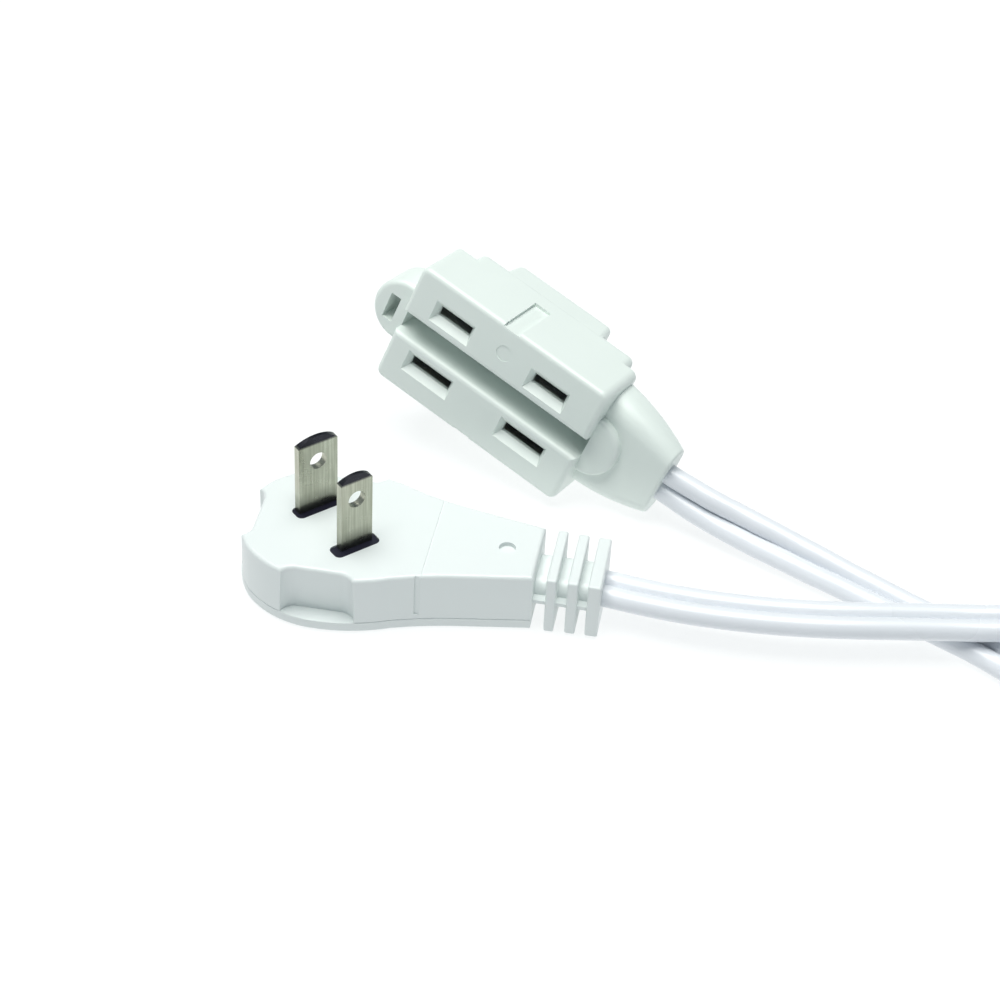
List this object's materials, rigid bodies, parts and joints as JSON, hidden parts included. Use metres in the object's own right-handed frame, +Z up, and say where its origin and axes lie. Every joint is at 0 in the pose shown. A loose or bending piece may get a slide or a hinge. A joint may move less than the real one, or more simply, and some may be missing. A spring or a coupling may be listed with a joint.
{
  "type": "extension cord",
  "caption": "Flat white household extension cord with a right-angle polarised two-blade plug and a grooved multi-outlet block with a moulded neck and hanging ear.",
  "frame": {"origin": "centre of the outlet block's bounding box, on the floor it lies on", "axes": "+X along the outlet block towards its cord, +Z up from the floor"},
  "size_m": [0.2575, 0.1028, 0.0382],
  "materials": {
    "tap_plastic": "satin moulded plastic, cool grey-white",
    "carrier_plastic": "matte",
    "contact_brass": "satin stamped strip",
    "wire_insulation": "matte",
    "plug_plastic": "satin moulded vinyl, white",
    "insert_plastic": "matte, near black",
    "blade_nickel": "satin nickel plate",
    "cord_jacket": "glossy vinyl, white",
    "tie_paper": "matte, plastic-coated wire tie"
  },
  "bodies": {
    "root": {"tap_front_shell": "tap_plastic", "tap_rear_shell": "tap_plastic", "tap_neck": "tap_plastic", "tap_contact_carrier": "carrier_plastic", "line_bus_strip": "contact_brass", "neutral_bus_strip": "contact_brass", "tap_line_contact_1": "contact_brass", "tap_line_contact_2": "contact_brass", "tap_line_contact_3": "contact_brass", "tap_neutral_contact_1": "contact_brass", "tap_neutral_contact_2": "contact_brass", "tap_neutral_contact_3": "contact_brass", "tap_line_crimp": "contact_brass", "tap_neutral_crimp": "contact_brass", "plug_line_crimp": "contact_brass", "plug_neutral_crimp": "contact_brass", "tap_line_wire": "wire_insulation", "tap_neutral_wire": "wire_insulation", "plug_line_wire": "wire_insulation", "plug_neutral_wire": "wire_insulation", "plug_front_shell": "plug_plastic", "plug_back_plate": "plug_plastic", "plug_strain_relief": "plug_plastic", "plug_blade_insert": "insert_plastic", "line_blade": "blade_nickel", "neutral_blade": "blade_nickel", "cord_tap_run": "cord_jacket", "cord_plug_run": "cord_jacket", "cord_coil": "cord_jacket", "coil_tie": "tie_paper"}
  },
  "joints": []
}
